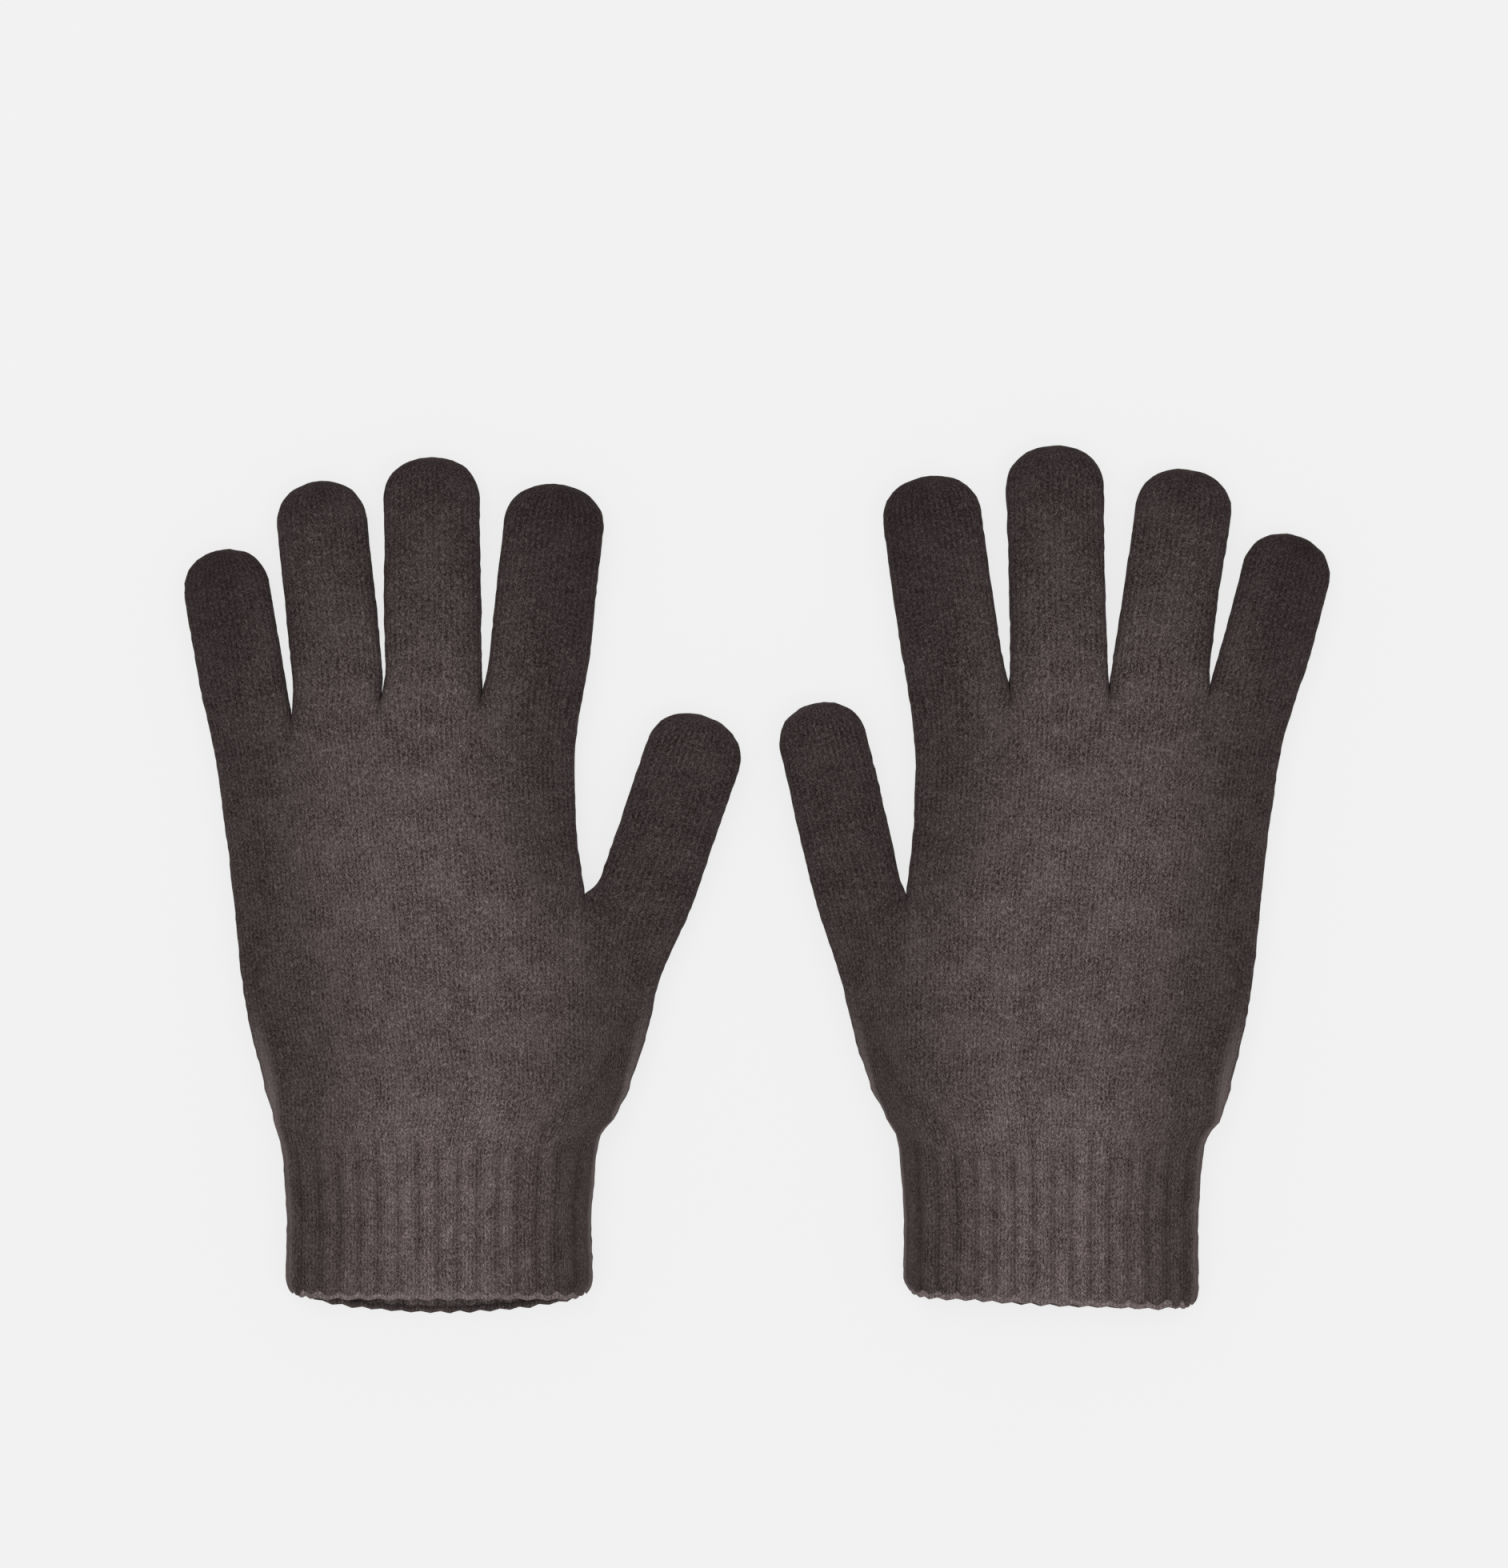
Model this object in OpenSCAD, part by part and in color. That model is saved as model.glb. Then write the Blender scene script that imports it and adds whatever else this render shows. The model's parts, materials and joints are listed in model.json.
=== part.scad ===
// Pair of knitted gloves lying flat, palms down, thumbs inwards.
// Millimetres. +Z up from the table, +Y towards the fingertips, origin under the middle of the pair.
// Every knitted tube is a hollow shell. Fingers, thumbs and cuffs fold up off the table.

/* [Fabric] */
// Thickness of the plain knit
knit_t = 2; // [1.6:0.1:2.4]
// Height of a finger lying flat
finger_t = 12; // [11:0.5:13]
// Height of the hand lying flat
palm_t = 15; // [14:0.5:17]
// Height of the cuff lying flat
cuff_t = 14; // [13:0.5:15]

/* [Left glove] */
// Middle of the left cuff, across the pair
left_x = -92.5; // [-96:0.5:-91]
// Lean of the left thumb away from the hand, degrees
left_thumb_lean = 18.8; // [16:0.2:22]
// Length of the left thumb from its crotch
left_thumb_l = 60.6; // [57:0.2:63]
// Width of the left thumb
left_thumb_w = 27.6; // [25:0.2:28]
// Half the width of the left cuff
left_cuff_w = 43.6; // [41:0.2:45]
// Length of the left cuff below the wrist
left_cuff_l = 49.8; // [46:0.2:53]

/* [Right glove] */
// Middle of the right cuff, across the pair
right_x = 85.8; // [84.3:0.5:92.3]
// Lean of the right thumb away from the hand, degrees
right_thumb_lean = 13; // [11:0.2:18]
// Length of the right thumb from its crotch
right_thumb_l = 60.4; // [57:0.2:63]
// Width of the right thumb
right_thumb_w = 25.4; // [24:0.2:27]
// Half the width of the right cuff
right_cuff_w = 42; // [40:0.2:44]
// Length of the right cuff below the wrist
right_cuff_l = 51.2; // [47:0.2:54]

/* [Cuff] */
// Fold line between the hand and the cuff
wrist_y = -69; // [-71:0.5:-67]
// Number of ribs around the cuff
rib_count = 34; // [30:1:36]
// Height of a rib over the furrow beside it
rib_depth = 1.1; // [0.6:0.1:1.4]
// Thickness of the rolled edge
welt_d = 2.4; // [2:0.1:2.6]
// Number of elastic threads laid into the rib
elastic_count = 5; // [3:1:6]
// Thickness of an elastic thread
elastic_d = 0.8; // [0.6:0.1:0.9]

/* [Folds] */
// How far a finger folds at its root, degrees
root_fold = 90; // [60:5:90]
// How far a finger folds at its middle, degrees
middle_fold = 95; // [60:5:95]
// How far the thumb folds at its root, degrees
thumb_root_fold = 60; // [40:5:70]
// How far the thumb folds at its middle, degrees
thumb_middle_fold = 80; // [60:5:90]
// How far the cuff folds up, degrees
wrist_fold = 80; // [60:5:80]
// Clearance on each side of a fold line
fold_gap = 0.3; // [0.25:0.05:0.4]

/* [Hidden] */

// How the fabric of each glove lies. Fingers run little, ring, middle, index.
left_root_x = [-57, -29.1, -1.7, 28];         // finger roots from the cuff's middle, to the thumb
left_lean = [9.5, 5.8, 0.7, -6];              // lean of each finger away from the thumb
left_tip_y = [96.4, 116.3, 123.5, 115.6];     // tops of the fingertips
left_finger_w = [24.6, 25.8, 27.8, 28.8];       // widths
left_crotch_y = [46, 53.8, 54.2];             // heights of the three crotches
left_thumb_gap = 3.2;                         // from the thumb's crotch to the thumb's edge
left_bulge = [-0.4, 2.1];                        // outline past the usual one, little side and thumb side
left_cuff_end = [5, 0];                       // lower layer's extra length, slant of the end

right_root_x = [-59.4, -30.8, -2.5, 27.2];
right_lean = [14.6, 8.2, -1.2, -8.2];
right_tip_y = [100.6, 120, 126.7, 118];
right_finger_w = [25.6, 27.6, 28, 28.6];
right_crotch_y = [53.3, 55.6, 56.1];
right_thumb_gap = 0.9;
right_bulge = [0.9, -0.9];
right_cuff_end = [1.6, 0.05];

// The two gloves: place, hand, and the numbers of each finger
left = [left_x, false, left_root_x, left_lean, left_tip_y, left_finger_w, left_crotch_y,
  [-left_thumb_lean, left_thumb_l, left_thumb_w, left_thumb_gap], left_bulge,
  [left_cuff_w, wrist_y - left_cuff_l, left_cuff_end[0], left_cuff_end[1]]];
right = [right_x, true, right_root_x, right_lean, right_tip_y, right_finger_w, right_crotch_y,
  [-right_thumb_lean, right_thumb_l, right_thumb_w, right_thumb_gap], right_bulge,
  [right_cuff_w, wrist_y - right_cuff_l, right_cuff_end[0], right_cuff_end[1]]];
little = 0;
ring = 1;
middle = 2;
index = 3;
thumb = 4;

root_y = 54;                 // height at which the fingers' root places are given
finger_b = finger_t / 2;
palm_b = palm_t / 2;
cuff_b = cuff_t / 2;
root_zone = 9.5;             // from a crotch to the fold line of the finger above it
middle_share = 0.44;         // middle fold's place between the root fold and the fingertip
dome = 12;                   // length of a rounded fingertip
squareness = 0.8;            // 1 is an ellipse; lower is squarer
flat_share = 1.05;           // presses the lower face onto the table

cols = 6;                    // facet columns across one finger, on each face
low_rows = 6;                // rows from the wrist to the thumb's crotch
high_rows = 6;               // rows from there to the fingers' crotches
stub_rows = 2;               // rows from a crotch to a fold line
valley = 14;                 // how far a crease runs down from a crotch

// Outline of the hand, as [y, x] from the cuff's middle line, +x towards the thumb
outer_side = [[-72, -47.6], [-69, -48.6], [-55, -52.6], [-43, -55.6], [-31, -58], [-8, -60.4],
  [15, -62.6], [37, -66], [47, -68.6], [56, -71.2]];
thumb_side = [[-72, 47], [-69, 48.8], [-60, 53], [-55, 55.4], [-43, 59], [-31, 61.4],
  [-20, 65.2], [-13, 69]];
index_side = [[-8, 43], [-4, 42.2], [4, 41.2], [15, 40], [37, 39.4], [47, 40.2], [56, 41.6]];
seam_x = 43;                 // where the thumb's gusset starts at the wrist
points_per_rib = 4;
cuff_n = rib_count * points_per_rib;
scallop = 0.7;               // how far each rib reaches past the furrows at the cuff's end
cuff_flare = [[-125, 0.6], [-112, 0.3], [-100, 0], [-90, 0.2], [-84, 0.8], [-78, 1.8], [-73, 3.2],
  [-69, 5]];

// Rounded steps across a tube: places from -1 to 1 and heights from 0 to 1
function signed_power(v, p) = sign(v) * pow(abs(v), p);
function across(t) = signed_power(-cos(180 * t), squareness);
function rise(t) = pow(abs(sin(180 * t)), squareness);
function mix(a, b, t) = a + (b - a) * t;
function clamp01(t) = min(1, max(0, t));
function tan_half(fold) = tan(fold / 2 + 0.6);

// One finger or thumb: where its middle line starts, which way it runs, its fold lines and end
function lean(g, f) = f == thumb ? g[7][0] : g[3][f];
function along(g, f) = [-sin(lean(g, f)), cos(lean(g, f))];
function sideways(g, f) = [cos(lean(g, f)), sin(lean(g, f))];
function half_w(g, f) = (f == thumb ? g[7][2] : g[5][f]) / 2;
function outer_x(g, y) = lookup(y, outer_side) - g[8][0];
function thumb_x(g, y) = lookup(y, thumb_side) + g[8][1];
function crotch_x(g, k) = k == 0 ? outer_x(g, g[6][0])
  : k == 4 ? lookup(g[6][2], index_side)
  : (finger_edge(g, k - 1, 1, g[6][k - 1]) + finger_edge(g, k, -1, g[6][k - 1])) / 2;
function finger_edge(g, f, side, y) =
  g[2][f] - (y - root_y) * tan(g[3][f]) + side * g[5][f] / 2 / cos(g[3][f]);
function crotch_y(g, k) = g[6][min(2, max(0, k - 1))];
function thumb_crotch_y() = -4;
function thumb_crotch() = [lookup(thumb_crotch_y(), index_side), thumb_crotch_y()];
function start(g, f) = f == thumb
  ? thumb_crotch() + sideways(g, f) * (half_w(g, f) + g[7][3]) : [g[2][f], root_y];
function s_of_y(g, f, y) = (y - start(g, f)[1]) / along(g, f)[1];
function root_s(g, f) = f == thumb ? root_zone
  : s_of_y(g, f, max(crotch_y(g, f), crotch_y(g, f + 1)) + root_zone);
function end_s(g, f) = f == thumb ? g[7][1] : s_of_y(g, f, g[4][f]);
function middle_s(g, f) = mix(root_s(g, f), end_s(g, f), middle_share);
function root_angle(f) = f == thumb ? thumb_root_fold : root_fold;
function middle_angle(f) = f == thumb ? thumb_middle_fold : middle_fold;

// A point of a tube's ring: k counts round it, 0 at its outer side, over the top first
function ring_t(k) = k <= cols ? k / cols : (2 * cols - k) / cols;
function half_size(g, f, s, inset) = let(
    run = clamp01((s - (end_s(g, f) - dome)) / (dome - inset)),
    shrink = pow(1 - pow(run, 2.1), 1 / 2.1))
  [(half_w(g, f) - inset) * shrink, (finger_b - inset) * pow(shrink, 0.85)];
function height(k, mid, b, inset) = k <= cols
  ? mid + b * rise(ring_t(k)) : max(inset, mid - flat_share * b * rise(ring_t(k)));

// Ring where a tube ends at a fold line: square below the line, cut back above it
// side is 1 past the fold line and -1 before it
function fold_cut(z, level, fold, side) = side * (fold_gap + max(0, z - level) * tan_half(fold));
function cut_ring(g, f, s, fold, side, inset) = [for (k = [0:2 * cols - 1]) let(
    size = half_size(g, f, s, inset),
    t = size[0] * across(ring_t(k)),
    z = height(k, finger_b, size[1], inset),
    square_s = f == thumb ? s : s - t * sideways(g, f)[1] / along(g, f)[1],
    reach = fold_cut(z, finger_b, fold, side) / (f == thumb ? 1 : along(g, f)[1]),
    p = start(g, f) + (square_s + reach) * along(g, f) + t * sideways(g, f))
  [p[0], p[1], z]];
function plain_ring(g, f, s, inset) = [for (k = [0:2 * cols - 1]) let(
    size = half_size(g, f, s, inset),
    p = start(g, f) + s * along(g, f) + size[0] * across(ring_t(k)) * sideways(g, f))
  [p[0], p[1], height(k, finger_b, size[1], min(inset, finger_b - size[1] + inset))]];

// Faces between rings of n points, rings counted from first to last
function ring_faces(n, first, last, inward) = [for (r = [first:last - 1], k = [0:n - 1]) let(
    a = r * n + k, b = r * n + (k + 1) % n, c = a + n, d = b + n)
  each inward ? [[a, b, d], [a, d, c]] : [[a, d, b], [a, c, d]]];
function rim_faces(n, outer, inner, ahead) = [for (k = [0:n - 1]) let(
    a = outer * n + k, b = outer * n + (k + 1) % n, c = inner * n + k, d = inner * n + (k + 1) % n)
  each ahead ? [[a, d, b], [a, c, d]] : [[a, b, d], [a, d, c]]];
function cap_face(n, r, ahead) = [[for (k = [0:n - 1]) r * n + (ahead ? k : n - 1 - k)]];

// A tube open at both ends, from its outer and inner rings
module open_tube(outer, inner) {
  n = len(outer[0]);
  m = len(outer);
  points = [each each outer, each each inner];
  last = m + len(inner) - 1;
  polyhedron(points, [each ring_faces(n, 0, m - 1, false), each ring_faces(n, m, last, true),
    each rim_faces(n, 0, m, false), each rim_faces(n, m - 1, last, true)]);
}

// A tube closed at its far end
module closed_tube(outer, inner) {
  n = len(outer[0]);
  m = len(outer);
  points = [each each outer, each each inner];
  last = m + len(inner) - 1;
  polyhedron(points, [each ring_faces(n, 0, m - 1, false), each ring_faces(n, m, last, true),
    each rim_faces(n, 0, m, false), each cap_face(n, m - 1, false), each cap_face(n, last, true)]);
}

// Middle part of a finger or thumb, between its two fold lines
module finger_base(g, f) {
  color("dimgray") open_tube(
    [cut_ring(g, f, root_s(g, f), root_angle(f), 1, 0),
      cut_ring(g, f, middle_s(g, f), middle_angle(f), -1, 0)],
    [cut_ring(g, f, root_s(g, f), root_angle(f), 1, knit_t),
      cut_ring(g, f, middle_s(g, f), middle_angle(f), -1, knit_t)]);
}

// Outer part of a finger or thumb, with its closed round tip
module finger_tip(g, f) {
  first = middle_s(g, f);
  last = end_s(g, f);
  steps = [0, 0.3, 0.55, 0.75, 0.89, 0.97, 0.995];
  color("gray") closed_tube(
    [cut_ring(g, f, first, middle_angle(f), 1, 0),
      for (e = steps) plain_ring(g, f, last - dome + e * dome, 0)],
    [cut_ring(g, f, first, middle_angle(f), 1, knit_t),
      for (e = steps) plain_ring(g, f, last - dome + e * (dome - knit_t), knit_t)]);
}

// Hand: columns run from the little finger's side to the thumb's, rows from the wrist up.
// Each finger has a group of columns. Rows past a crotch belong to one finger alone.
rows_of = [for (f = [0:4]) f == thumb ? low_rows + stub_rows : low_rows + high_rows + stub_rows];
function split_row(k) = k == 4 ? low_rows : low_rows + high_rows;
function boundary(g, k) = (crotch_x(g, k) - crotch_x(g, 0)) / (crotch_x(g, 4) - crotch_x(g, 0));
function share(g, f, t) = mix(boundary(g, f), boundary(g, f + 1), (1 + across(t)) / 2);
function crease(past) = sqrt(1 - pow(clamp01(past), 2));
function wide(u) = pow(1 - pow(abs(2 * u - 1), 3.2), 1 / 2.4);

// Points of the hand below the thumb's crotch
function low_point(g, f, t, j, inset, top) = let(
    level = thumb_crotch_y() - inset,
    thumb_w = 2 * half_w(g, thumb) + g[7][3],
    far_x = thumb_crotch()[0] + thumb_w * sideways(g, thumb)[0],
    drop = thumb_w * sideways(g, thumb)[1],
    u = (1 + across(t)) / 2,
    y_end = f == thumb ? level + drop * u : level,
    y = mix(wrist_y, y_end, j / low_rows),
    seam = mix(seam_x, thumb_crotch()[0], (y - wrist_y) / (thumb_crotch_y() - wrist_y)),
    near_x = outer_x(g, y) + inset,
    side_x = (j == low_rows ? far_x : min(far_x, thumb_x(g, y))) - inset,
    x = f == thumb ? mix(seam, side_x, u) : mix(near_x, seam, share(g, f, t)),
    half = mix(cuff_b, f == thumb ? mix(palm_b, finger_b, j / low_rows) : palm_b, j / low_rows) - inset,
    whole = wide((x - near_x) / (side_x - near_x)),
    parted = f == thumb ? mix(rise(t), wide(u), 0.2) : wide((x - near_x) / (seam - near_x)),
    past = 1 - (y_end - y) / valley,
    h = half * mix(parted, whole, crease(past)),
    middle_z = half + inset,
    z = top ? middle_z + h : max(inset, middle_z - flat_share * h),
    cut = j == 0 ? fold_cut(z, cuff_b, wrist_fold, 1) : 0)
  [x, y + cut, z];

// Points of the hand between the thumb's crotch and the fingers' crotches
function high_point(g, f, t, j, inset, top) = let(
    u = (1 + across(t)) / 2,
    y_end = mix(crotch_y(g, f), crotch_y(g, f + 1), u) - inset,
    run = (j - low_rows) / high_rows,
    y = mix(thumb_crotch_y() - inset, y_end, run),
    near_x = outer_x(g, y) + inset,
    side_x = lookup(y, index_side) - inset,
    x = mix(near_x, side_x, share(g, f, t)),
    half = mix(palm_b, finger_b, run) - inset,
    past = 1 - (y_end - y) / valley,
    h = half * mix(rise(t), wide(share(g, f, t)), crease(past)),
    middle_z = half + inset)
  [x, y, top ? middle_z + h : max(inset, middle_z - flat_share * h)];

// Points of the short stub between a crotch and the finger's fold line
function stub_point(g, f, i, j, inset, top) = let(
    split = f == thumb ? low_rows : low_rows + high_rows,
    t = i / cols,
    from = f == thumb ? low_point(g, f, t, split, inset, top) : high_point(g, f, t, split, inset, top),
    k = top ? i : (2 * cols - i) % (2 * cols),
    to = cut_ring(g, f, root_s(g, f), root_angle(f), -1, inset)[k])
  mix(from, to, j == split + stub_rows ? 1 : 0.45);

function hand_point(g, f, i, j, inset, top) =
  j <= low_rows ? low_point(g, f, i / cols, j, inset, top)
  : f < thumb && j <= low_rows + high_rows ? high_point(g, f, i / cols, j, inset, top)
  : stub_point(g, f, i, j, inset, top);

// Numbering of the hand's points: a point that two groups or both faces share has one number
block = (cols + 1) * (low_rows + high_rows + stub_rows + 1);
function shared(f, i, j) = i == cols && f < 4 && j <= split_row(f + 1) ? [f + 1, 0] : [f, i];
function on_side(f, i, j) = let(
    meets_left = f > 0 && j < split_row(f),
    meets_right = f < 4 && j < split_row(f + 1))
  (i == 0 && !meets_left) || (i == cols && !meets_right);
function number(f, i, j, face) = let(
    at = shared(f, i, j),
    side = i == cols && at[1] == 0 ? j >= split_row(at[0]) : on_side(f, i, j))
  ((side ? 0 : face) * 5 + at[0]) * block + j * (cols + 1) + at[1];
function patch(f, face, offset, inward) = [for (j = [0:rows_of[f] - 1], i = [0:cols - 1]) let(
    a = offset + number(f, i, j, face), b = offset + number(f, i + 1, j, face),
    c = offset + number(f, i, j + 1, face), d = offset + number(f, i + 1, j + 1, face),
    turned = (face == 1) != inward)
  each turned ? [[a, b, d], [a, d, c]] : [[a, d, b], [a, c, d]]];
function rim(f, j, face, offset, ahead) = [for (i = [0:cols - 1]) let(
    a = number(f, i, j, face), b = number(f, i + 1, j, face),
    turned = (face == 1) != ahead)
  each turned ? [[a, b, b + offset], [a, b + offset, a + offset]]
    : [[a, b + offset, b], [a, a + offset, b + offset]]];

module palm(g) {
  sheet = [for (inset = [0, knit_t], face = [0, 1], f = [0:4], j = [0:low_rows + high_rows + stub_rows],
      i = [0:cols]) hand_point(g, f, i, min(j, rows_of[f]), inset, face == 0)];
  inner = 10 * block;
  faces = [for (f = [0:4], face = [0, 1]) each [
    each patch(f, face, 0, false),
    each patch(f, face, inner, true),
    each rim(f, 0, face, inner, true),
    each rim(f, rows_of[f], face, inner, false)]];
  color("slategray") polyhedron(sheet, faces);
}

// Cuff: an obround tube. p runs once round it from the thumb's side, over the top first.
function obround(a, b, p) = let(
    flat = a - b, arc = PI * b / 2, length = 4 * (arc + flat), at = p * length)
  at < arc ? turn(flat, b, at / arc * 90)
  : at < arc + 2 * flat ? [flat - (at - arc), b, 0, 1]
  : at < 3 * arc + 2 * flat ? turn(-flat, b, 90 + (at - arc - 2 * flat) / arc * 90)
  : at < 3 * arc + 4 * flat ? [-flat + (at - 3 * arc - 2 * flat), -b, 0, -1]
  : turn(flat, b, 270 + (at - 3 * arc - 4 * flat) / arc * 90);
function turn(x, b, angle) = [x + b * cos(angle), b * sin(angle), cos(angle), sin(angle)];
function rib(p) = 0.5 + 0.5 * cos(360 * rib_count * p);
function rib_fade(y) = clamp01((wrist_y - 4 - y) / 9);
// The lower layer ends past the upper one, most in the middle of the cuff
function cuff_end(g, p) = let(
    o = obround(g[9][0], cuff_b, p),
    below = (1 - o[1] / cuff_b) / 2)
  g[9][1] - g[9][2] * below * (1 - pow(o[0] / g[9][0], 2)) + g[9][3] * o[0] - scallop * rib(p);
function cuff_point(g, y, p, inset) = let(
    o = obround(g[9][0] + lookup(y, cuff_flare), cuff_b - (inset > 0 ? 0 : rib_depth / 2), p),
    lift = inset > 0 ? -inset : rib_depth * rib_fade(y) * (rib(p) - 0.5))
  [o[0] + o[2] * lift, cuff_b + o[1] + o[3] * lift];
function cuff_ring(g, y, inset) = [for (k = [0:cuff_n - 1]) let(
    p = k / cuff_n, at = cuff_point(g, y, p, inset), z = at[1])
  [at[0], y == wrist_y ? y + fold_cut(z, cuff_b, wrist_fold, -1)
    : y == g[9][1] ? cuff_end(g, p) : y, z]];

module cuff(g) {
  wall = knit_t + rib_depth / 2;
  color("dimgray") open_tube(
    [for (y = [wrist_y, wrist_y - 8, wrist_y - 13, wrist_y - 30, g[9][1]]) cuff_ring(g, y, 0)],
    [for (y = [wrist_y, wrist_y - 13, g[9][1]]) cuff_ring(g, y, wall)]);
}

// Rolled edge: a bead that follows the cuff's end
module cuff_edge(g) {
  n = rib_count * 2;
  sides = 6;
  bead = [for (k = [0:n]) let(
      p = (k % n) / n,
      o = cuff_point(g, g[9][1], p, knit_t / 2 + 0.2),
      out = obround(g[9][0], cuff_b, p))
    [for (e = [0:sides - 1]) let(r = welt_d / 2 * cos(360 / sides * e), s = welt_d / 2 * sin(360 / sides * e))
      [o[0] + out[2] * r, cuff_end(g, p) - welt_d / 2 - 0.05 + s, o[1] + out[3] * r]]];
  points = [for (k = [0:n - 1]) each bead[k]];
  color("darkgray") polyhedron(points, [for (k = [0:n - 1], e = [0:sides - 1]) let(
      a = k * sides + e, b = k * sides + (e + 1) % sides,
      c = (k + 1) % n * sides + e, d = (k + 1) % n * sides + (e + 1) % sides)
    each [[a, b, d], [a, d, c]]]);
}

// Elastic threads: thin loops against the inside of the rib
module cuff_elastic(g) {
  r = cuff_b - knit_t - rib_depth / 2 - elastic_d / 2 - 0.1;
  flat = g[9][0] - cuff_b;
  first = wrist_y - 17;
  step = (g[9][1] + 8 - first) / (elastic_count - 1);
  color("black") for (i = [0:elastic_count - 1])
    translate([0, first + i * step, cuff_b]) rotate([90, 0, 0]) union() {
      for (side = [0, 1]) rotate([0, 0, 180 * side]) translate([flat, 0, 0]) rotate([0, 0, -90])
        rotate_extrude(angle = 180, $fn = 96) translate([r, 0]) circle(d = elastic_d);
      for (side = [-1, 1]) translate([-flat, side * r, 0]) rotate([0, 90, 0])
        cylinder(h = 2 * flat, d = elastic_d);
    }
}

// Puts one glove in its place; the right glove is the mirrored one
module placed(g) {
  translate([g[0], 0, 0]) mirror([g[1] ? 1 : 0, 0, 0]) children();
}

module left_palm() placed(left) palm(left);
module left_cuff() placed(left) cuff(left);
module left_cuff_edge() placed(left) cuff_edge(left);
module left_cuff_elastic() placed(left) cuff_elastic(left);
module left_thumb_base() placed(left) finger_base(left, thumb);
module left_thumb_tip() placed(left) finger_tip(left, thumb);
module left_index_base() placed(left) finger_base(left, index);
module left_index_tip() placed(left) finger_tip(left, index);
module left_middle_base() placed(left) finger_base(left, middle);
module left_middle_tip() placed(left) finger_tip(left, middle);
module left_ring_base() placed(left) finger_base(left, ring);
module left_ring_tip() placed(left) finger_tip(left, ring);
module left_little_base() placed(left) finger_base(left, little);
module left_little_tip() placed(left) finger_tip(left, little);
module right_palm() placed(right) palm(right);
module right_cuff() placed(right) cuff(right);
module right_cuff_edge() placed(right) cuff_edge(right);
module right_cuff_elastic() placed(right) cuff_elastic(right);
module right_thumb_base() placed(right) finger_base(right, thumb);
module right_thumb_tip() placed(right) finger_tip(right, thumb);
module right_index_base() placed(right) finger_base(right, index);
module right_index_tip() placed(right) finger_tip(right, index);
module right_middle_base() placed(right) finger_base(right, middle);
module right_middle_tip() placed(right) finger_tip(right, middle);
module right_ring_base() placed(right) finger_base(right, ring);
module right_ring_tip() placed(right) finger_tip(right, ring);
module right_little_base() placed(right) finger_base(right, little);
module right_little_tip() placed(right) finger_tip(right, little);

left_palm();
left_cuff();
left_cuff_edge();
left_cuff_elastic();
left_thumb_base();
left_thumb_tip();
left_index_base();
left_index_tip();
left_middle_base();
left_middle_tip();
left_ring_base();
left_ring_tip();
left_little_base();
left_little_tip();
right_palm();
right_cuff();
right_cuff_edge();
right_cuff_elastic();
right_thumb_base();
right_thumb_tip();
right_index_base();
right_index_tip();
right_middle_base();
right_middle_tip();
right_ring_base();
right_ring_tip();
right_little_base();
right_little_tip();
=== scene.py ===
import bpy
import json
import math
import numpy as np
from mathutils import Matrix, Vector, noise
from mathutils.bvhtree import BVHTree


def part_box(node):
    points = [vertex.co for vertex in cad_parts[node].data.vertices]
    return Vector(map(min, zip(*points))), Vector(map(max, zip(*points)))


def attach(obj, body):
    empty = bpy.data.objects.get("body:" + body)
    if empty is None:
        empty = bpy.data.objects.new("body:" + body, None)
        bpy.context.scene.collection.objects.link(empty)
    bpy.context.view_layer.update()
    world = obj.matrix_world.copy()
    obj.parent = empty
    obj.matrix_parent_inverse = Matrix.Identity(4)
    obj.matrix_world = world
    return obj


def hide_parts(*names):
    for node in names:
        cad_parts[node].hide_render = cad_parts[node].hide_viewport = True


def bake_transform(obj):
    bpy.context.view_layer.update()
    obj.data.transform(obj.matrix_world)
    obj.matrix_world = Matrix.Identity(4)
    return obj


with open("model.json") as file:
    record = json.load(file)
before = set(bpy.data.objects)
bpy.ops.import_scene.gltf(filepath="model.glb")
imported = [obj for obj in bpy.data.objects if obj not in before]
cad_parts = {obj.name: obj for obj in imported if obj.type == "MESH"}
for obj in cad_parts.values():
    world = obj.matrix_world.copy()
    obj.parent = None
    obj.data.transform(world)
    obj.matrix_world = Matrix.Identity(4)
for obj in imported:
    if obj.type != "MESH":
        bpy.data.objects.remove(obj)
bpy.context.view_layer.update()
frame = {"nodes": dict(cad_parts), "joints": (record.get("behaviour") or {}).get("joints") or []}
joints = {j["name"]: j for j in frame["joints"]}
fingerNames = ["little", "ring", "middle", "index"]
scene = bpy.context.scene
scene.view_settings.view_transform = "Standard"
scene.view_settings.look = "None"
print("stage: frame loaded")

# the fabric all the pieces are made of, in metres
knit = {
    "stitch": 0.00135,      # one wale to the next
    "wales": 20,            # wales across one finger, each face
    "steps": 3,             # mesh columns in a wale
    "row": 0.0018,          # mesh rows
    "wall": 0.0018,         # thickness of the fabric
    "waleDepth": 0.00011,   # how far a wale stands up
    "square": 0.8,          # 1 is an ellipse, lower is squarer
    "valley": 0.014,        # how far a crease runs down from a crotch
    "dome": 0.012,          # length of a round fingertip
}
cols = knit["wales"] * knit["steps"]

# the fold lines, as lengths of cloth on each side of them
folds = {"wrist": 0.0105, "root": 0.0095, "middle": 0.0085}


def mixOf(a, b, t):
    return a + (b - a) * t


def clamp(t):
    return np.clip(t, 0, 1)


def smooth(t):
    t = clamp(t)
    return t * t * (3 - 2 * t)


# the shapes of a finger's and a hand's cross section
def across(t):
    c = -np.cos(np.pi * t)
    return np.sign(c) * np.abs(c) ** knit["square"]


def rise(t):
    return np.abs(np.sin(np.pi * t)) ** knit["square"]


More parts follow.
